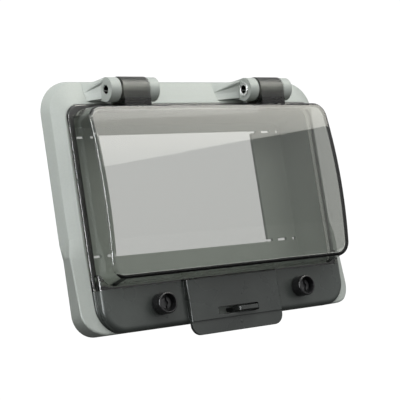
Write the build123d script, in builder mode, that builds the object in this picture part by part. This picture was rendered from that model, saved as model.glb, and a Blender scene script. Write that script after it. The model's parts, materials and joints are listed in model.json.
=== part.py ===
"""Hinged inspection window for modular devices, for mounting over a cut-out in a panel.

A grey moulded frame with a sunk tray carries the cover on two top hinges. The cover is a smoked
clear hood with a dark apron joined below it. Two quarter-turn locks and a sealing tongue hold it
shut.

Axes: X to the right, Z up, the front faces -Y. The origin is the centre of the rear mounting face.
A depth d is measured forwards from that face, so it lies at Y = -d.
"""
import os

from build123d import *

# ---- frame border ----
FRAME_X, FRAME_LOW, FRAME_HIGH = 100.0, -74.0, 75.0                # rear edge
FRAME_R_LOW, FRAME_R_HIGH = 13.5, 20.0
RIM_X, RIM_HIGH, RIM_D = 97.3, 72.8, 6.6                           # the outer wall leans in to this edge
RIM_R_LOW, RIM_R_HIGH = 13.0, 18.0
WAIST_X, WAIST_FROM_Z, WAIST_TO_Z = 98.9, -20.0, -29.0             # the sides step in to this half width
SEAT_D = 12.0           # depth of the seat that the cover closes on
CHIN_TOP_Z = -18.0      # the border starts to thicken here
CHIN_RIM_D, CHIN_D = 12.2, 15.0                                    # its depths at the lower edge
EDGE_R = 1.2            # rounding of the border's outer edge
TIP_X = 81.0            # half width of the open lower edge
CHANNEL_X, CHANNEL_Z, CHANNEL_D, CHANNEL_R = 93.0, 68.0, 5.6, 13.0  # lightening channel behind the border
RING_X, RING_LOW, RING_HIGH, RING_W = 97.2, -73.0, 74.0, 3.4       # panel gasket

# ---- tray ----
TRAY_X, TRAY_LOW, TRAY_HIGH, TRAY_R = 86.0, -47.2, 54.5, 7.0      # inside, at the seat
FLOOR_D, FLOOR_T, WALL = -11.3, 2.0, 2.0
TRAY_DRAFT = 4.4        # inward lean of the tray wall from the seat to the floor
WINDOW_X, WINDOW_LOW, WINDOW_HIGH = 57.5, -28.0, 45.2
BREAK_SLITS = ((57.0, 61.5), (65.8, 73.0), (78.0, 80.8))           # from and to, along X
SLIT_H = 1.7

# ---- cover ----
COVER_X, COVER_LOW, COVER_HIGH = 90.8, -74.2, 58.4
COVER_R_LOW, COVER_R_HIGH = 16.0, 8.0
COVER_D, SKIN = 12.4, 2.4
HOOD_X, HOOD_LOW, HOOD_HIGH, HOOD_R = 87.6, -49.0, 55.5, 8.5       # outside, at the flange
FACE_X, FACE_LOW, FACE_HIGH = 87.2, -43.6, 52.2                    # outside, at FACE_D
FACE_D = 36.0
BOW_TOP_D, BOW_Z, BOW_R = 36.4, 0.0, 262.0
HOOD_EDGE_R = 1.7
APRON_D = 19.5          # front of the lower part of the cover
TAB_X, TAB_LOW, TAB_HIGH, TAB_D, TAB_R = 33.5, -81.7, -48.0, 23.3, 6.5
LIP_Z, LIP_STEP, LIP_REAR_D = -73.4, 0.9, 20.3
SLOT_CENTRE, SLOT_X, SLOT_Z, SLOT_H = 0.8, 15.0, -69.2, 4.6
GATE_X, GATE_Z, GATE_R, GATE_T = 2.2, -77.0, 0.65, 0.3             # gate mark on the tab's lip
JOIN_Z = -49.2          # the hood is joined to the apron on this level

# ---- sealing tongue ----
TONGUE_X, TONGUE_W, TONGUE_T, TONGUE_LOW, TONGUE_D = 6.8, 14.4, 2.4, -70.4, 26.6
FOOT_X, FOOT_HIGH, FOOT_D = 15.0, -62.4, 4.0
SEAL_HOLE_R, SEAL_HOLE_D = 1.0, 24.9

# ---- hinges ----
AXIS_Z, AXIS_D = 64.5, 22.1
HINGE_CENTRES = (-52.0, 48.0)
KNUCKLE_SPAN, KNUCKLE_W, ARM_W, ARM_SHIFT = 19.6, 6.6, 18.0, 0.3
KNUCKLE_R, ARM_R = 7.1, 7.5
PIN_R, PIN_BORE_R, PIN_RUN = 2.9, 2.4, 0.04
COLLAR_R, COLLAR_T = 4.2, 0.8                                      # flared end of the right pin
RAMP_LENGTHS = (7.0, 14.0)

# ---- quarter-turn locks ----
LOCK_XS, LOCK_Z = (SLOT_CENTRE - 51.65, SLOT_CENTRE + 51.65), -60.7
KNOB_R, KNOB_D, CUP_R, CUP_D = 6.3, 27.6, 5.1, 22.4
ORING_R, ORING_T = 4.95, 0.7
NECK_R, NECK_END_D = 4.2, 14.9
SPINDLE_R, SPINDLE_HEAD_R, SPINDLE_HEAD_D = 2.2, 3.3, 24.6
WING_L, WING_W, WING_T, WING_D = 9.6, 3.0, 2.0, 9.7
STRIKE_X, STRIKE_Z, STRIKE_T = 20.0, 16.0, 1.8

# ---- fixing inserts ----
FIX_X, FIX_Z = 87.5, 62.5
INSERT_R, INSERT_BORE_R, INSERT_L = 2.6, 1.65, 6.4

GAP = 0.5


def at_depth(d):
    """Plane parallel to the panel, d in front of the mounting face."""
    return Plane.XZ.offset(d)


def plate(half_x, low, high, r_low, r_high=None):
    """Rectangle drawn into the open sketch, with its own lower and upper corner radii."""
    with Locations((0, (low + high) / 2)):
        Rectangle(2 * half_x, high - low)
    fillet(vertices().group_by(Axis.Y)[0], r_low)
    fillet(vertices().group_by(Axis.Y)[-1], r_high or r_low)


def tray_outline(d, grow=0.0):
    """Tray outline at depth d, grown outwards for the wall's outer side."""
    lean = TRAY_DRAFT * (SEAT_D - d) / (SEAT_D - FLOOR_D)
    plate(TRAY_X - lean + grow, TRAY_LOW + lean - grow, TRAY_HIGH - lean + grow, TRAY_R + grow)


def cover_pocket(gap):
    """Outline of the cover, grown by a gap, for the seat that it closes into."""
    plate(COVER_X + gap, COVER_LOW - gap, COVER_HIGH + gap, COVER_R_LOW + gap, COVER_R_HIGH + gap)


def rear_outline():
    """Outline of the frame's rear edge, drawn into the open sketch; the sides step in at the waist."""
    right = ((FRAME_X, FRAME_HIGH), (FRAME_X, WAIST_FROM_Z), (WAIST_X, WAIST_TO_Z), (WAIST_X, FRAME_LOW))
    with BuildLine() as outline:
        Polyline(*right, *[(-x, z) for x, z in reversed(right)], close=True)
    make_face(outline.edges())
    fillet(vertices().group_by(Axis.Y)[0], FRAME_R_LOW)
    fillet(vertices().group_by(Axis.Y)[-1], FRAME_R_HIGH)


def make_chin():
    """Thickening of the border along the lower half of the frame."""
    inner, bottom, beyond = COVER_X + GAP, FRAME_LOW - 1, WAIST_X + 0.3
    with BuildPart() as chin:
        for z, edge in ((CHIN_TOP_Z, RIM_X), (WAIST_TO_Z, beyond), (bottom, beyond)):
            share = (CHIN_TOP_Z - z) / (CHIN_TOP_Z - bottom)
            rim_d, seat_d = RIM_D + share * (CHIN_RIM_D - RIM_D), SEAT_D + share * (CHIN_D - SEAT_D)
            with BuildSketch(Plane.XY.offset(z)):
                with BuildLine():
                    Polyline((-edge, 0), (-edge, -rim_d), (-inner, -seat_d), (inner, -seat_d),
                             (edge, -rim_d), (edge, 0), close=True)
                make_face()
        loft(ruled=True)
    return chin.part


def is_outer_rim(edge):
    """True for an edge between the outer wall and the sloping front face."""
    middle = edge @ 0.5
    far_out = abs(middle.X) > COVER_X + 5 or middle.Z > COVER_HIGH + 9 or middle.Z < FRAME_LOW + 10
    return far_out and -middle.Y > RIM_D - 0.1 and abs((edge % 0.5).Y) < 0.5


def make_border():
    """Outer border with its leaning wall, sloping face, chin and cover seat."""
    with BuildPart() as border:
        with BuildSketch(at_depth(0)):
            plate(FRAME_X, FRAME_LOW, FRAME_HIGH, FRAME_R_LOW, FRAME_R_HIGH)
        with BuildSketch(at_depth(RIM_D)):
            plate(RIM_X, FRAME_LOW, RIM_HIGH, RIM_R_LOW, RIM_R_HIGH)
        loft(ruled=True)
        with BuildSketch(at_depth(RIM_D)):
            plate(RIM_X, FRAME_LOW, RIM_HIGH, RIM_R_LOW, RIM_R_HIGH)
        with BuildSketch(at_depth(SEAT_D)):
            plate(COVER_X + GAP, FRAME_LOW, COVER_HIGH + GAP, COVER_R_LOW + GAP, COVER_R_HIGH + GAP)
        loft(ruled=True)
        add(make_chin())
        with BuildSketch(at_depth(0)):
            rear_outline()
        extrude(amount=30, mode=Mode.INTERSECT)
        fillet([e for e in border.edges() if is_outer_rim(e)], EDGE_R)
        # the cover's pocket is open along the lower edge; its thin corner tips are cut off square
        with BuildSketch(at_depth(SEAT_D)):
            cover_pocket(GAP)
            with Locations((0, FRAME_LOW)):
                Rectangle(2 * TIP_X, 1.6)
        extrude(amount=10, mode=Mode.SUBTRACT)
    return border.part


def make_knuckle(x_from):
    """One frame knuckle with its web."""
    with BuildPart() as knuckle:
        with BuildSketch(Plane.YZ.offset(x_from)):
            with Locations((-AXIS_D, AXIS_Z)):
                Circle(KNUCKLE_R)
            with BuildLine():
                Polyline((-6, 60.2), (-SEAT_D, 60.2), (-18, 58.75), (-AXIS_D, AXIS_Z), (-21.6, 71.58),
                         (-6.2, 72.55), (-6, 60.2))
            make_face()
        extrude(amount=KNUCKLE_W)
    return knuckle.part


def make_ramp(root, length):
    """Rib that falls away to the left of a hinge, behind and above the way in for the pin."""
    at_root = ((6, 60.4), (12, 60.3), (16.8, 60.4), (17.2, 64.5), (18.2, 68.0), (20.9, 70.0), (21.2, 71.5),
               (6.2, 72.5))
    at_end = ((6, 60.4), (9, 60.3), (11.3, 60.4), (9.6, 64.5), (8.2, 68.0), (7.4, 70.0), (6.8, 71.5),
              (6.2, 72.3))
    with BuildPart() as ramp:
        for x, profile in ((root, at_root), (root - length, at_end)):
            with BuildSketch(Plane.YZ.offset(x)):
                with BuildLine():
                    Polyline(*[(-d, z) for d, z in profile], close=True)
                make_face()
        loft(ruled=True)
    return ramp.part


def make_frame():
    with BuildPart() as frame:
        add(make_border())
        # lightening channel behind the border, then the tray that reaches through the panel
        with BuildSketch(at_depth(0)):
            plate(CHANNEL_X, -CHANNEL_Z, CHANNEL_Z, CHANNEL_R)
        extrude(amount=CHANNEL_D, mode=Mode.SUBTRACT)
        for d in (SEAT_D - 0.01, FLOOR_D - FLOOR_T):
            with BuildSketch(at_depth(d)):
                tray_outline(d, WALL)
        loft(ruled=True)
        with Locations(*[at_depth(0) * Location((x, z)) for x in (-FIX_X, FIX_X) for z in (-FIX_Z, FIX_Z)]):
            Cylinder(5.0, CHANNEL_D, align=(Align.CENTER, Align.CENTER, Align.MIN))
        with Locations(*[at_depth(4.4) * Location((x, LOCK_Z)) for x in LOCK_XS]):
            Cylinder(8.0, CHANNEL_D - 4.4, align=(Align.CENTER, Align.CENTER, Align.MIN))
        with BuildSketch(at_depth(2.0)):
            with Locations((0, SLOT_Z + 4.6)):
                Rectangle(38, 13)
        extrude(amount=CHANNEL_D - 2.0)
        for d in (SEAT_D, FLOOR_D):
            with BuildSketch(at_depth(d)):
                tray_outline(d)
        loft(ruled=True, mode=Mode.SUBTRACT)
        # window and the break-out slits in line with its upper and lower edges
        with BuildSketch(at_depth(FLOOR_D)):
            plate(WINDOW_X, WINDOW_LOW, WINDOW_HIGH, 1.5)
            for side in (-1, 1):
                for start, end in BREAK_SLITS:
                    for z in (WINDOW_LOW + SLIT_H / 2, WINDOW_HIGH - SLIT_H / 2):
                        with Locations((side * (start + end) / 2, z)):
                            Rectangle(end - start, SLIT_H)
        extrude(amount=-FLOOR_T - 1, mode=Mode.SUBTRACT)
        # seat groove for the cover gasket, rear groove for the panel gasket
        with BuildSketch(at_depth(SEAT_D)):
            gasket_ring()
        extrude(amount=-2.0, mode=Mode.SUBTRACT)
        with BuildSketch(at_depth(0)):
            panel_ring()
        extrude(amount=1.6, mode=Mode.SUBTRACT)
        # sockets for the fixing inserts, the strike plates and the turning lock wings
        with Locations(*[at_depth(0) * Location((x, z)) for x in (-FIX_X, FIX_X) for z in (-FIX_Z, FIX_Z)]):
            Cylinder(INSERT_R, INSERT_L + 0.4, align=(Align.CENTER, Align.CENTER, Align.MIN),
                     mode=Mode.SUBTRACT)
        for x in LOCK_XS:
            with BuildSketch(at_depth(SEAT_D)):
                with Locations((x, LOCK_Z)):
                    RectangleRounded(STRIKE_X, STRIKE_Z, 2)
            extrude(amount=-STRIKE_T, mode=Mode.SUBTRACT)
            with BuildSketch(at_depth(SEAT_D)):
                with Locations((x, LOCK_Z)):
                    Circle(5.8)
            extrude(amount=-5.6, mode=Mode.SUBTRACT)
        # hinge knuckles
        for centre, length in zip(HINGE_CENTRES, RAMP_LENGTHS):
            left_face = centre - KNUCKLE_SPAN / 2 - KNUCKLE_W
            add(make_knuckle(left_face))
            add(make_knuckle(centre + KNUCKLE_SPAN / 2))
            add(make_ramp(left_face, length))
        with Locations(Location((0, -AXIS_D, AXIS_Z), (0, 90, 0))):
            Cylinder(PIN_R, 160, mode=Mode.SUBTRACT)
        # pocket and slot for the sealing tongue
        with BuildSketch(at_depth(0)):
            with Locations((0, (TONGUE_LOW + FOOT_HIGH) / 2)):
                Rectangle(2 * FOOT_X + 1, FOOT_HIGH - TONGUE_LOW + 0.1)
        extrude(amount=FOOT_D, mode=Mode.SUBTRACT)
        with BuildSketch(at_depth(0)):
            with Locations((TONGUE_X, TONGUE_LOW + TONGUE_T / 2)):
                Rectangle(TONGUE_W + 0.1, TONGUE_T + 0.1)
        extrude(amount=SEAT_D + 1, mode=Mode.SUBTRACT)
    return frame


def make_tongue():
    """Sealing tongue that stands through the slot in the apron's tab, on a foot behind the seat."""
    with BuildPart() as tongue:
        with BuildSketch(Plane.XY.offset(TONGUE_LOW)):
            with Locations((TONGUE_X, -(FOOT_D + TONGUE_D) / 2)):
                RectangleRounded(TONGUE_W, TONGUE_D - FOOT_D, 2)
            with Locations((TONGUE_X, -FOOT_D - 2)):
                Rectangle(TONGUE_W, 4)
            with Locations((TONGUE_X, -SEAL_HOLE_D)):
                Circle(SEAL_HOLE_R, mode=Mode.SUBTRACT)
        extrude(amount=TONGUE_T)
        with BuildSketch(at_depth(FOOT_D)):
            with Locations((0, (TONGUE_LOW + FOOT_HIGH) / 2)):
                Rectangle(2 * FOOT_X, FOOT_HIGH - TONGUE_LOW)
        extrude(amount=-2.0)
    return tongue


def gasket_ring():
    """Ring of the cover gasket, drawn into the open sketch."""
    with BuildSketch(mode=Mode.PRIVATE) as inner:
        plate(86.7, -48.0, 54.9, 7.6)
    plate(90.2, -51.4, 58.4, 9.2)
    add(inner.sketch, mode=Mode.SUBTRACT)


def panel_ring():
    """Ring of the panel gasket, drawn into the open sketch."""
    with BuildSketch(mode=Mode.PRIVATE) as inner:
        plate(RING_X - RING_W, RING_LOW + RING_W, RING_HIGH - RING_W, 14.0)
    plate(RING_X, RING_LOW, RING_HIGH, 14.0 + RING_W)
    add(inner.sketch, mode=Mode.SUBTRACT)


def bowed_block(inset):
    """Hood volume under its bowed face, inset for the inner side of the skin."""
    with BuildPart() as block:
        for d, x, low, high in ((COVER_D - (1 if inset else 0), HOOD_X, HOOD_LOW, HOOD_HIGH),
                                (FACE_D + 3, FACE_X, FACE_LOW, FACE_HIGH)):
            with BuildSketch(at_depth(d)):
                plate(x - inset, low + inset, high - inset, HOOD_R - inset)
        loft(ruled=True)
        with BuildSketch(Plane.YZ.offset(-HOOD_X - 5)):
            with Locations((BOW_R - BOW_TOP_D, BOW_Z)):
                Circle(BOW_R - inset)
        extrude(amount=2 * HOOD_X + 10, mode=Mode.INTERSECT)
        front = block.faces().sort_by(Axis.Y)[0]
        fillet(front.edges(), 1.0 if inset else HOOD_EDGE_R)
    return block.part


def make_arm(centre):
    """Arm of the cover that wraps the hinge pin."""
    with BuildPart() as arm:
        with BuildSketch(Plane.YZ.offset(centre - ARM_W / 2)):
            with Locations((-AXIS_D, AXIS_Z)):
                Circle(ARM_R)
            with BuildLine():
                Polyline((-COVER_D, 53.6), (-COVER_D, COVER_HIGH), (-16.2, 59.8), (-AXIS_D, AXIS_Z),
                         (-29.55, AXIS_Z - 0.6), (-28.5, 53.6), (-COVER_D, 53.6))
            make_face()
        extrude(amount=ARM_W)
    return arm.part


def make_cover():
    """Whole cover, before it is divided into the hood and the apron."""
    with BuildPart() as cover:
        with BuildSketch(at_depth(COVER_D)):
            plate(COVER_X, COVER_LOW, COVER_HIGH, COVER_R_LOW, COVER_R_HIGH)
        extrude(amount=SKIN)
        flange = cover.faces().sort_by(Axis.Y)[0]
        fillet(flange.edges(), 1.4)
        # raised apron below the hood
        with BuildSketch(at_depth(COVER_D)) as apron:
            plate(COVER_X - 1.6, COVER_LOW, -40, COVER_R_LOW - 1.6, 2)
        extrude(amount=APRON_D - COVER_D)
        front = cover.faces().filter_by(Axis.Y).sort_by(Axis.Y)[0]
        fillet(front.edges(), 3.2)
        # raised pull tab
        with BuildSketch(at_depth(14.0)):
            plate(TAB_X, TAB_LOW, TAB_HIGH, TAB_R, 1)
        extrude(amount=TAB_D - 14.0)
        front = cover.faces().filter_by(Axis.Y).sort_by(Axis.Y)[0]
        fillet(front.edges(), 1.2)
        with BuildSketch(at_depth(TAB_D)):
            with Locations((0, (LIP_Z + TAB_LOW) / 2 - 1)):
                Rectangle(2 * TAB_X + 4, LIP_Z - TAB_LOW + 2)
        extrude(amount=-LIP_STEP, mode=Mode.SUBTRACT)
        with BuildSketch(at_depth(LIP_REAR_D)):
            with Locations((0, COVER_LOW - 10)):
                Rectangle(2 * TAB_X + 4, 20)
        extrude(amount=-10, mode=Mode.SUBTRACT)
        with BuildSketch(at_depth(TAB_D - LIP_STEP)):
            with Locations((GATE_X, GATE_Z)):
                Circle(GATE_R)
        extrude(amount=GATE_T)
        add(bowed_block(0))
        for centre in HINGE_CENTRES:
            add(make_arm(centre + ARM_SHIFT))
        # hollow inside: hood, apron and tab
        add(bowed_block(SKIN), mode=Mode.SUBTRACT)
        with BuildSketch(at_depth(COVER_D)):
            plate(COVER_X - 1.6 - SKIN, COVER_LOW + SKIN, -53.2, COVER_R_LOW - 1.6 - SKIN, 2)
        extrude(amount=APRON_D - SKIN - COVER_D, mode=Mode.SUBTRACT)
        with BuildSketch(at_depth(COVER_D)):
            plate(TAB_X - SKIN, COVER_LOW + SKIN, -53.2, 1, 1)
        extrude(amount=TAB_D - SKIN - LIP_STEP - COVER_D, mode=Mode.SUBTRACT)
        # tab slot, lock holes, pin bores
        with BuildSketch(at_depth(TAB_D)):
            with Locations((SLOT_CENTRE, SLOT_Z)):
                RectangleRounded(2 * SLOT_X, SLOT_H, 1)
        extrude(amount=-6, mode=Mode.SUBTRACT)
        with Locations(*[at_depth(APRON_D - 4) * Location((x, LOCK_Z)) for x in LOCK_XS]):
            Cylinder(NECK_R + 0.05, 8, mode=Mode.SUBTRACT)
        with Locations(Location((0, -AXIS_D, AXIS_Z), (0, 90, 0))):
            Cylinder(PIN_R + PIN_RUN, 160, mode=Mode.SUBTRACT)
    return cover.part


def cover_half(whole, keep):
    """The hood (Keep.TOP) or the apron (Keep.BOTTOM)."""
    with BuildPart() as half:
        add(whole)
        split(bisect_by=Plane.XY.offset(JOIN_Z), keep=keep)
    return half


def ring_solid(draw, d, depth):
    """Gasket made from a ring sketch, from depth d forwards."""
    with BuildPart() as gasket:
        with BuildSketch(at_depth(d)):
            draw()
        extrude(amount=depth)
    return gasket


def make_pin(start, end, collar=False):
    """Tubular slotted pin along X, with a flared collar at its start if asked for."""
    with BuildPart() as pin:
        with BuildSketch(Plane.YZ.offset(start)):
            with Locations((-AXIS_D, AXIS_Z)):
                Circle(PIN_R)
                Circle(PIN_BORE_R, mode=Mode.SUBTRACT)
            with Locations((-AXIS_D + PIN_R, AXIS_Z)):
                Rectangle(2.4, 0.8, mode=Mode.SUBTRACT)
        extrude(amount=end - start)
        if collar:
            with BuildSketch(Plane.YZ.offset(start)):
                with Locations((-AXIS_D, AXIS_Z)):
                    Circle(COLLAR_R)
                    Circle(PIN_BORE_R, mode=Mode.SUBTRACT)
            extrude(amount=COLLAR_T)
            rims = pin.edges().filter_by(GeomType.CIRCLE).group_by(Axis.X)[0]
            fillet(rims.sort_by(SortBy.RADIUS)[-1], 0.4)
            mouth = pin.edges().filter_by(GeomType.CIRCLE).group_by(Axis.X)[0]
            chamfer(mouth.sort_by(SortBy.RADIUS)[0], 0.45)
    return pin


def cylinder_between(x, d_low, d_high, radius, mode=Mode.ADD):
    """Cylinder on a lock axis, drawn into the open part."""
    with Locations(at_depth(d_low) * Location((x, LOCK_Z))):
        Cylinder(radius, d_high - d_low, align=(Align.CENTER, Align.CENTER, Align.MIN), mode=mode)


def make_knob(x):
    """Black cup with a neck through the cover; the neck is grooved for its retainer."""
    base = APRON_D + 0.4
    with BuildPart() as knob:
        cylinder_between(x, base, KNOB_D, KNOB_R)
        fillet(knob.edges().sort_by(Axis.Y)[0], 0.95)
        cylinder_between(x, CUP_D, KNOB_D + 1, CUP_R, Mode.SUBTRACT)
        cylinder_between(x, NECK_END_D, base, NECK_R)
        cylinder_between(x, 15.7, 16.7, NECK_R + 1, Mode.SUBTRACT)
        cylinder_between(x, 15.7, 16.7, 3.6)
        with BuildSketch(at_depth(base)):
            with Locations((x, LOCK_Z)):
                Circle(ORING_R + ORING_T + 0.05)
                Circle(ORING_R - ORING_T - 0.05, mode=Mode.SUBTRACT)
        extrude(amount=1.2, mode=Mode.SUBTRACT)
        cylinder_between(x, NECK_END_D - 1, CUP_D + 1, SPINDLE_R, Mode.SUBTRACT)
    return knob


def make_spindle(x):
    """Steel spindle with a slotted head in the cup and a wing behind the strike plate."""
    with BuildPart() as spindle:
        cylinder_between(x, CUP_D, SPINDLE_HEAD_D, SPINDLE_HEAD_R)
        cylinder_between(x, WING_D - WING_T, CUP_D, SPINDLE_R)
        with BuildSketch(at_depth(WING_D)):
            with Locations((x, LOCK_Z)):
                RectangleRounded(WING_W, WING_L, 0.6)
        extrude(amount=-WING_T)
        with BuildSketch(at_depth(SPINDLE_HEAD_D)):
            with Locations((x, LOCK_Z)):
                Rectangle(1.1, 8)
                Circle(1.5)
        extrude(amount=-1.3, mode=Mode.SUBTRACT)
    return spindle


def make_oring(x):
    with BuildPart() as oring:
        with Locations(at_depth(APRON_D + ORING_T + 0.1) * Location((x, LOCK_Z))):
            Torus(ORING_R, ORING_T)
    return oring


def make_retainer(x):
    """Open retaining ring in the groove of the knob's neck."""
    with BuildPart() as ring:
        with BuildSketch(at_depth(15.75)):
            with Locations((x, LOCK_Z)):
                Circle(6.3)
                Circle(3.65, mode=Mode.SUBTRACT)
            with Locations((x, LOCK_Z - 5)):
                Rectangle(4.0, 5, mode=Mode.SUBTRACT)
        extrude(amount=0.9)
    return ring


def make_strike(x):
    """Keyed plate that the lock wing passes through and turns behind."""
    with BuildPart() as strike:
        with BuildSketch(at_depth(SEAT_D)):
            with Locations((x, LOCK_Z)):
                RectangleRounded(STRIKE_X, STRIKE_Z, 2)
                SlotOverall(12.4, 4.0, rotation=90, mode=Mode.SUBTRACT)
                Circle(2.9, mode=Mode.SUBTRACT)
        extrude(amount=-STRIKE_T)
    return strike


def make_insert(x, z):
    """Brass insert for one fixing screw, flush behind the mounting face."""
    with BuildPart() as insert:
        with BuildSketch(at_depth(0.1)):
            with Locations((x, z)):
                Circle(INSERT_R)
                Circle(INSERT_BORE_R, mode=Mode.SUBTRACT)
        extrude(amount=INSERT_L)
    return insert


def save(builder, name):
    builder.part.label = name
    export_step(builder.part, "parts/" + name + ".step")


os.makedirs("parts", exist_ok=True)
save(make_frame(), "frame")
COVER = make_cover()
save(cover_half(COVER, Keep.TOP), "window_hood")
save(cover_half(COVER, Keep.BOTTOM), "window_apron")
save(make_tongue(), "sealing_tongue")
save(ring_solid(gasket_ring, SEAT_D - 2.0, 2.15), "cover_gasket")
save(ring_solid(panel_ring, 0.0, 1.6), "panel_gasket")

HINGE_HALF = KNUCKLE_SPAN / 2 + KNUCKLE_W
LEFT, RIGHT = HINGE_CENTRES
save(make_pin(LEFT - HINGE_HALF + 0.5, LEFT + HINGE_HALF - 0.6), "hinge_pin_left")
save(make_pin(RIGHT - HINGE_HALF - COLLAR_T, RIGHT + HINGE_HALF - 2.0, collar=True), "hinge_pin_right")

for side, x in zip(("left", "right"), LOCK_XS):
    save(make_knob(x), "lock_knob_" + side)
    save(make_spindle(x), "lock_spindle_" + side)
    save(make_oring(x), "lock_oring_" + side)
    save(make_retainer(x), "lock_retainer_" + side)
    save(make_strike(x), "strike_plate_" + side)

for row, z in (("upper", FIX_Z), ("lower", -FIX_Z)):
    for side, x in (("left", -FIX_X), ("right", FIX_X)):
        save(make_insert(x, z), "fixing_insert_" + row + "_" + side)
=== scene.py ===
"""Looks for the hinged inspection window: materials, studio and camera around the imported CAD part.

Lengths are in metres. +Z is up and the viewer is on the -Y side.
"""

import json
import math

import bpy
from mathutils import Matrix, Vector


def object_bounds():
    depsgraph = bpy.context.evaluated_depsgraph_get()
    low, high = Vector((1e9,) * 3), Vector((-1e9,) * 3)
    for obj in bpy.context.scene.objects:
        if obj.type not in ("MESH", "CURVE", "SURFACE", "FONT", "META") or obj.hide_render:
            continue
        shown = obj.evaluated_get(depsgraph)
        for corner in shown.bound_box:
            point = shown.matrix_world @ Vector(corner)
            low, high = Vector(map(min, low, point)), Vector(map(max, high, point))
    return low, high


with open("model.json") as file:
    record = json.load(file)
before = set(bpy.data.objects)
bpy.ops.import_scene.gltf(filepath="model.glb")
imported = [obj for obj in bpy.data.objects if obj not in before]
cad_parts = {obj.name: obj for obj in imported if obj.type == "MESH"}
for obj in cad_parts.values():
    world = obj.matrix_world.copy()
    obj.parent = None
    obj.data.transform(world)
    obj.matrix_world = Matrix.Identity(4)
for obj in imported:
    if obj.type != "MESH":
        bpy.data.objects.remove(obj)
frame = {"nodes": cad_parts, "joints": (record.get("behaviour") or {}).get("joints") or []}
cad_low, cad_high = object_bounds()
NODES = frame["nodes"]
HINGE = next(joint for joint in frame["joints"] if joint["name"] == "cover_hinge")["pos_m"]
HALF_WIDTH = cad_high[0]
PAIR = ("left", "right")
MM = 0.001
WHITE = (1.0, 1.0, 1.0, 1.0)

# ---- materials ----
ARM_START = HINGE[2] - 8.5 * MM                     # the hood is glossy below this height,
ARM_END = HINGE[2] - 5.5 * MM                       # and satin above this one, on its hinge arms
ARM_HAZE = 0.38                                     # roughness added there
SMOKE_COLOUR = (0.10, 0.13, 0.06, 1.0)
SMOKE_DENSITY = 205.0                               # per metre of plastic
BORE_SHADE_INNER, BORE_SHADE_OUTER = 2.42 * MM, 2.52 * MM       # painted shade in a pin's bore fades out between these radii
PAINTED_END_LIGHT = 0.55 / HALF_WIDTH                       # how fast painted light brightens the apron towards its ends

# ---- studio ----
FLOOR_R, FLOOR_Z, FLOOR_SIDES, FLOOR_GLOW = 6.0, -0.30, 96, 0.6
BRIGHT_FROM = (0.06, -0.50, 0.86)                   # the world's light is strongest from here
WORLD_DIM, WORLD_BRIGHT = (0.07, 0.07, 0.069), (0.92, 0.92, 0.92)
BACKDROP, BACKDROP_THROUGH = 1.05, 0.745            # white, seen directly and through the hood
KEY_PLACE, KEY_TARGET = (0.10, -0.45, 0.56), (0, 0, 0)
KEY_SIZE, KEY_POWER = (0.8, 0.5), 1.35
LEFT_PLACE, LEFT_TARGET = (-0.26, -0.035, 0.17), (-0.08, -0.02, 0.06)
LEFT_SIZE, LEFT_POWER = (0.10, 0.10), 0.13
OVERHEAD_CARD = ((0.50, -1.42, 0.333), (1.75, -1.50, 0.930), (1.45, -1.05, 1.90), (0.30, -0.85, 1.60))
OVERHEAD_LOW, OVERHEAD_HIGH = (2.0, 2.05, 2.0), (11.0, 10.7, 9.7)
SIDE_CARD = ((-1.2, -0.64, -0.3), (-1.2, -0.10, -0.3), (-1.2, -0.10, 0.9), (-1.2, -0.64, 0.9))
SIDE_LOW, SIDE_HIGH = (10.0, 10.2, 10.4), (13.0, 13.2, 13.4)

# ---- camera ----
SENSOR_MM, LENS_MM, SHIFT = 36.0, 107.73, (-0.0184, 0.0733)
CAMERA_PLACE = (-0.4261, -0.5929, -0.0867)
CAMERA_RIGHT, CAMERA_UP = (0.8086, -0.5683, -0.1524), (0.0697, -0.1646, 0.9839)
CLIP = (0.02, 50.0)


class Nodes:
    """The node tree of a material or a world, with short calls for the nodes used here."""

    def __init__(self, owner):
        owner.use_nodes = True
        self.tree = owner.node_tree
        self.tree.nodes.clear()

    def node(self, kind, **settings):
        """Adds a node and sets its own properties."""
        made = self.tree.nodes.new(kind)
        for key, value in settings.items():
            setattr(made, key, value)
        return made

    def link(self, start, end):
        self.tree.links.new(start, end)

    def fill(self, node, **values):
        """Sets or links a node's inputs by name, with _ for a space."""
        for key, value in values.items():
            socket = node.inputs[key.replace("_", " ")]
            if isinstance(value, bpy.types.NodeSocket):
                self.link(value, socket)
            else:
                socket.default_value = value
        return node

    def height_of(self, coordinates):
        """Z of a vector."""
        split = self.node("ShaderNodeSeparateXYZ")
        self.link(coordinates, split.inputs["Vector"])
        return split.outputs["Z"]

    def ranged(self, value, start, end, low, high):
        """Maps start to end onto low to high."""
        made = self.fill(self.node("ShaderNodeMapRange"), Value=value, From_Min=start, From_Max=end,
                         To_Min=low, To_Max=high)
        return made.outputs["Result"]

    def blend(self, factor, low, high, start=0.3, end=0.7):
        """Colour ramp over a factor, from low at start to high at end."""
        made = self.node("ShaderNodeValToRGB")
        for element, place, colour in zip(made.color_ramp.elements, (start, end), (low, high)):
            element.position = place
            element.color = (*colour, 1)
        self.link(factor, made.inputs["Fac"])
        return made.outputs["Color"]

    def mixed_shaders(self, factor, first, second):
        """The first shader at factor 0, the second at 1."""
        made = self.node("ShaderNodeMixShader")
        self.link(factor, made.inputs["Fac"])
        self.link(first, made.inputs[1])
        self.link(second, made.inputs[2])
        return made.outputs["Shader"]


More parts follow.
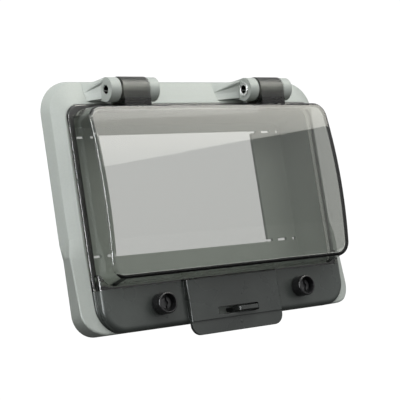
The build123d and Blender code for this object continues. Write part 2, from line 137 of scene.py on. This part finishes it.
class Shader(Nodes):
    """A material with one Principled surface."""

    def __init__(self, name):
        self.material = bpy.data.materials.new(name)
        super().__init__(self.material)
        self.output = self.node("ShaderNodeOutputMaterial")
        self.surface = self.node("ShaderNodeBsdfPrincipled")
        self.link(self.surface.outputs["BSDF"], self.output.inputs["Surface"])
        self.place = self.node("ShaderNodeTexCoord").outputs["Object"]

    def stretched(self, scale):
        """Object coordinates, scaled on each axis."""
        mapping = self.node("ShaderNodeMapping")
        mapping.inputs["Scale"].default_value = scale
        self.link(self.place, mapping.inputs["Vector"])
        return mapping.outputs["Vector"]

    def noise(self, scale, detail=3.0, rough=0.5, stretch=None):
        """Noise in object space; scale counts its features per metre."""
        made = self.fill(self.node("ShaderNodeTexNoise"), Scale=scale, Detail=detail, Roughness=rough,
                         Vector=self.stretched(stretch) if stretch else self.place)
        return made.outputs["Fac"]

    def spread(self, factor, low, high):
        """Maps a noise's usual range onto a range of values."""
        return self.ranged(factor, 0.3, 0.7, low, high)

    def bump(self, height, distance, strength, normal=None):
        """Normal for a surface that rises by distance where height is 1."""
        made = self.fill(self.node("ShaderNodeBump"), Strength=strength, Distance=distance, Height=height)
        if normal is not None:
            self.link(normal, made.inputs["Normal"])
        return made.outputs["Normal"]

    def soft_edges(self, radius):
        """Normal with the solid's sharp edges rounded off."""
        return self.fill(self.node("ShaderNodeBevel", samples=4), Radius=radius).outputs["Normal"]

    def finish(self, **values):
        """Sets the surface's inputs and returns the material."""
        self.fill(self.surface, **values)
        return self.material


# ---------------------------------------------------------------- materials
def housing_plastic():
    """Fine-textured light grey moulding."""
    look = Shader("housing_plastic")
    mixed = look.node("ShaderNodeMix", data_type="RGBA", blend_type="MULTIPLY")
    look.fill(
        mixed,
        Factor=1.0,
        A=look.blend(look.noise(9.0, detail=4.0), (0.500, 0.542, 0.506), (0.542, 0.585, 0.546)),
        B=look.blend(look.noise(900.0, detail=2.0), (0.96, 0.96, 0.96), (1.0, 1.0, 1.0)),
    )
    return look.finish(
        Base_Color=mixed.outputs["Result"],
        Roughness=look.spread(look.noise(60.0), 0.42, 0.55),
        Normal=look.bump(look.noise(2600.0, rough=0.6), 0.04 * MM, 0.5, look.soft_edges(0.6 * MM)),
        IOR=1.5,
    )


def smoked_polycarbonate():
    """Smoked clear plastic: the tint is in its depth, so thick arms and edges are darker."""
    look = Shader("smoked_polycarbonate")
    rough = look.node("ShaderNodeMath", operation="ADD")
    look.link(look.spread(look.noise(40.0, detail=5.0), 0.012, 0.05), rough.inputs[0])
    look.link(look.ranged(look.height_of(look.place), ARM_START, ARM_END, 0.0, ARM_HAZE), rough.inputs[1])
    # daylight inside the tray: diffuse and shadow rays pass straight through
    clear = look.node("ShaderNodeBsdfTransparent").outputs["BSDF"]
    path = look.node("ShaderNodeLightPath")
    seen = look.surface.outputs["BSDF"]
    for ray in ("Is Diffuse Ray", "Is Shadow Ray"):
        seen = look.mixed_shaders(path.outputs[ray], seen, clear)
    look.link(seen, look.output.inputs["Surface"])
    smoke = look.fill(look.node("ShaderNodeVolumeAbsorption"), Color=SMOKE_COLOUR, Density=SMOKE_DENSITY)
    look.link(smoke.outputs["Volume"], look.output.inputs["Volume"])
    return look.finish(
        Base_Color=WHITE,
        Transmission_Weight=1.0,
        IOR=1.58,
        Roughness=rough.outputs["Value"],
        Normal=look.bump(look.noise(22.0, detail=1.0), 0.05 * MM, 0.12),
    )


def dark_moulding():
    """Dark grey satin plastic of the apron and the tongue, cloudy, with painted light that brightens it
    towards its ends.
    """
    look = Shader("dark_moulding")
    # painted light: the colour gets lighter with distance from the middle along X, on top of a random
    # cloudiness
    outward = look.node("ShaderNodeVectorMath", operation="LENGTH")
    look.link(look.stretched((1.0, 0.0, 0.0)), outward.inputs[0])
    cloud_and_painted_light = look.node("ShaderNodeMath", operation="MULTIPLY_ADD")
    look.link(outward.outputs["Value"], cloud_and_painted_light.inputs[0])
    cloud_and_painted_light.inputs[1].default_value = PAINTED_END_LIGHT
    look.link(look.spread(look.noise(26.0, detail=4.0), 0.0, 0.3), cloud_and_painted_light.inputs[2])
    return look.finish(
        Base_Color=look.blend(cloud_and_painted_light.outputs["Value"], (0.037, 0.042, 0.040), (0.098, 0.112, 0.104), 0.1, 0.8),
        Roughness=look.spread(look.noise(45.0, detail=4.0), 0.22, 0.38),
        IOR=1.5,
        Normal=look.bump(look.noise(1500.0, detail=2.0), 0.03 * MM, 0.35, look.soft_edges(0.4 * MM)),
    )


def black_zinc():
    """Blackened zinc plate of the lock spindles."""
    look = Shader("black_zinc")
    return look.finish(
        Base_Color=look.blend(look.noise(300.0), (0.030, 0.030, 0.032), (0.060, 0.060, 0.062)),
        Metallic=0.6,
        Roughness=look.spread(look.noise(500.0), 0.28, 0.42),
        Normal=look.bump(look.noise(1500.0), 0.02 * MM, 0.4, look.soft_edges(0.2 * MM)),
    )


def black_rubber():
    """Dull rubber of the gaskets and O-rings."""
    look = Shader("black_rubber")
    return look.finish(
        Base_Color=look.blend(look.noise(500.0), (0.010, 0.010, 0.011), (0.022, 0.022, 0.023)),
        Roughness=look.spread(look.noise(120.0), 0.45, 0.7),
        Normal=look.bump(look.noise(1800.0), 0.04 * MM, 0.5),
    )


def black_cap():
    """Black satin plastic of the lock caps."""
    look = Shader("black_cap")
    return look.finish(
        Base_Color=look.blend(look.noise(300.0), (0.014, 0.014, 0.015), (0.024, 0.024, 0.026)),
        Roughness=look.spread(look.noise(400.0), 0.26, 0.4),
        Normal=look.bump(look.noise(2200.0), 0.02 * MM, 0.4, look.soft_edges(0.3 * MM)),
    )


def plated(look, colour):
    """Finishes a material as turned metal with faint lines around X."""
    lines = look.noise(260.0, detail=4.0, rough=0.6, stretch=(0.12, 1.0, 1.0))
    return look.finish(
        Base_Color=colour,
        Metallic=1.0,
        Roughness=look.spread(lines, 0.22, 0.36),
        Normal=look.bump(lines, 0.02 * MM, 0.4, look.soft_edges(0.2 * MM)),
    )


def zinc_steel():
    """Bright zinc plate of the rings and strike plates."""
    look = Shader("zinc_steel")
    return plated(look, look.blend(look.noise(180.0), (0.56, 0.57, 0.58), (0.72, 0.73, 0.73)))


def pin_steel():
    """Zinc plate outside, with painted shade in the bore along the hinge axis."""
    look = Shader("pin_steel")
    across = look.node("ShaderNodeVectorMath", operation="DISTANCE")
    look.link(look.stretched((0.0, 1.0, 1.0)), across.inputs[0])
    across.inputs[1].default_value = (0.0, *HINGE[1:])
    # painted shade: near-black colour within the bore radius around the hinge axis, fading to the plate
    # colour outside it
    tone = look.fill(
        look.node("ShaderNodeMix", data_type="RGBA"),
        Factor=look.ranged(across.outputs["Value"], BORE_SHADE_INNER, BORE_SHADE_OUTER, 1.0, 0.0),
        A=look.blend(look.noise(180.0), (0.60, 0.60, 0.60), (0.76, 0.76, 0.75)),
        B=(0.045, 0.035, 0.030, 1.0),
    )
    return plated(look, tone.outputs["Result"])


def turned_brass():
    """Brass of the threaded inserts, with turning lines."""
    look = Shader("turned_brass")
    lines = look.noise(500.0, rough=0.6, stretch=(1.0, 6.0, 1.0))
    return look.finish(
        Base_Color=look.blend(look.noise(200.0), (0.66, 0.47, 0.20), (0.80, 0.60, 0.30)),
        Metallic=1.0,
        Roughness=look.spread(lines, 0.25, 0.42),
        Normal=look.bump(lines, 0.02 * MM, 0.4),
    )


def dress(material, *names):
    """Gives the named CAD nodes a material."""
    for name in names:
        mesh = NODES[name].data
        mesh.materials.clear()
        mesh.materials.append(material)


def both(*kinds):
    """Names of the left and right node of each kind."""
    return [kind + "_" + side for kind in kinds for side in PAIR]


dress(housing_plastic(), "frame")
dress(smoked_polycarbonate(), "window_hood")
dress(dark_moulding(), "window_apron", "sealing_tongue")
dress(black_zinc(), *both("lock_spindle"))
dress(black_rubber(), "cover_gasket", "panel_gasket", *both("lock_oring"))
dress(black_cap(), *both("lock_knob"))
dress(pin_steel(), *both("hinge_pin"))
dress(zinc_steel(), *both("lock_retainer", "strike_plate"))
dress(turned_brass(), *both("fixing_insert_upper", "fixing_insert_lower"))


# ---------------------------------------------------------------- studio
def add_object(name, data):
    """Puts a new object with this data into the scene."""
    made = bpy.data.objects.new(name, data)
    bpy.context.scene.collection.objects.link(made)
    return made


def area_light(name, place, target, size, power):
    """Rectangular lamp at a place, facing its target."""
    lamp = bpy.data.lights.new(name, "AREA")
    lamp.shape = "RECTANGLE"
    lamp.size, lamp.size_y = size
    lamp.energy = power
    made = add_object(name, lamp)
    made.location = place
    made.rotation_euler = (Vector(target) - Vector(place)).to_track_quat("-Z", "Y").to_euler()
    return made


def reflected_card(name, corners, low, high):
    """Card that shows only in reflections, from the low colour at its lower edge to the high one."""
    mesh = bpy.data.meshes.new(name)
    mesh.from_pydata([Vector(corner) for corner in corners], [], [(0, 1, 2, 3)])
    card = add_object(name, mesh)
    material = bpy.data.materials.new(name)
    nodes = Nodes(material)
    heights = [corner[2] for corner in corners]
    rise = nodes.height_of(nodes.node("ShaderNodeTexCoord").outputs["Object"])
    tone = nodes.fill(nodes.node("ShaderNodeMix", data_type="RGBA"), A=(*low, 1), B=(*high, 1),
                  Factor=nodes.ranged(rise, min(heights), max(heights), 0.0, 1.0))
    glow = nodes.fill(nodes.node("ShaderNodeEmission"), Color=tone.outputs["Result"])
    nodes.link(glow.outputs["Emission"], nodes.node("ShaderNodeOutputMaterial").inputs["Surface"])
    mesh.materials.append(material)
    card.visible_camera = card.visible_diffuse = card.visible_transmission = card.visible_shadow = False


def make_floor():
    """Plain pale floor, well below the part."""
    mesh = bpy.data.meshes.new("floor")
    turns = [step * math.tau / FLOOR_SIDES for step in range(FLOOR_SIDES)]
    ring = [(FLOOR_R * math.cos(turn), FLOOR_R * math.sin(turn), FLOOR_Z) for turn in turns]
    mesh.from_pydata(ring, [], [list(range(FLOOR_SIDES))])
    floor = add_object("floor", mesh)
    look = Shader("floor")
    look.finish(
        Base_Color=look.blend(look.noise(3.0), (0.80, 0.80, 0.80), (0.84, 0.84, 0.84)),
        Roughness=0.8,
        Emission_Color=WHITE,
        Emission_Strength=FLOOR_GLOW,
    )
    mesh.materials.append(look.material)
    floor.visible_diffuse = floor.visible_glossy = False


def make_world():
    """White backdrop. What lights the part is brighter from above and in front than from below."""
    world = bpy.data.worlds.new("studio")
    nodes = Nodes(world)
    facing = nodes.node("ShaderNodeVectorMath", operation="DOT_PRODUCT")
    nodes.link(nodes.node("ShaderNodeTexCoord").outputs["Generated"], facing.inputs[0])
    facing.inputs[1].default_value = BRIGHT_FROM
    level = nodes.ranged(facing.outputs["Value"], -1.0, 1.0, 0.0, 1.0)
    light = nodes.blend(level, WORLD_DIM, WORLD_BRIGHT, 0.4, 0.9)
    shown = nodes.fill(nodes.node("ShaderNodeBackground"), Color=light).outputs["Background"]
    path = nodes.node("ShaderNodeLightPath")
    for ray, strength in (("Is Transmission Ray", BACKDROP_THROUGH), ("Is Camera Ray", BACKDROP)):
        white = nodes.fill(nodes.node("ShaderNodeBackground"), Color=WHITE, Strength=strength)
        shown = nodes.mixed_shaders(path.outputs[ray], shown, white.outputs["Background"])
    nodes.link(shown, nodes.node("ShaderNodeOutputWorld").inputs["Surface"])
    bpy.context.scene.world = world


def make_lamps():
    """Soft light from above and in front, and a small lamp for the left ends of the hinges."""
    area_light("key", KEY_PLACE, KEY_TARGET, KEY_SIZE, KEY_POWER)
    left = area_light("left_lamp", LEFT_PLACE, LEFT_TARGET, LEFT_SIZE, LEFT_POWER)
    left.visible_glossy = False


# ---------------------------------------------------------------- camera
def make_camera():
    """Below and to the left of the part, slightly rolled, a little off its own axis."""
    lens = bpy.data.cameras.new("camera")
    lens.sensor_width = SENSOR_MM
    lens.lens = LENS_MM
    lens.shift_x, lens.shift_y = SHIFT
    lens.clip_start, lens.clip_end = CLIP
    camera = add_object("camera", lens)
    right = Vector(CAMERA_RIGHT).normalized()
    back = right.cross(Vector(CAMERA_UP)).normalized()
    turn = Matrix((right, back.cross(right), back)).transposed().to_4x4()
    camera.matrix_world = Matrix.Translation(CAMERA_PLACE) @ turn
    bpy.context.scene.camera = camera


make_floor()
make_world()
make_lamps()
reflected_card("overhead_card", OVERHEAD_CARD, OVERHEAD_LOW, OVERHEAD_HIGH)
reflected_card("side_card", SIDE_CARD, SIDE_LOW, SIDE_HIGH)
make_camera()
bpy.context.scene.view_settings.view_transform = "Standard"
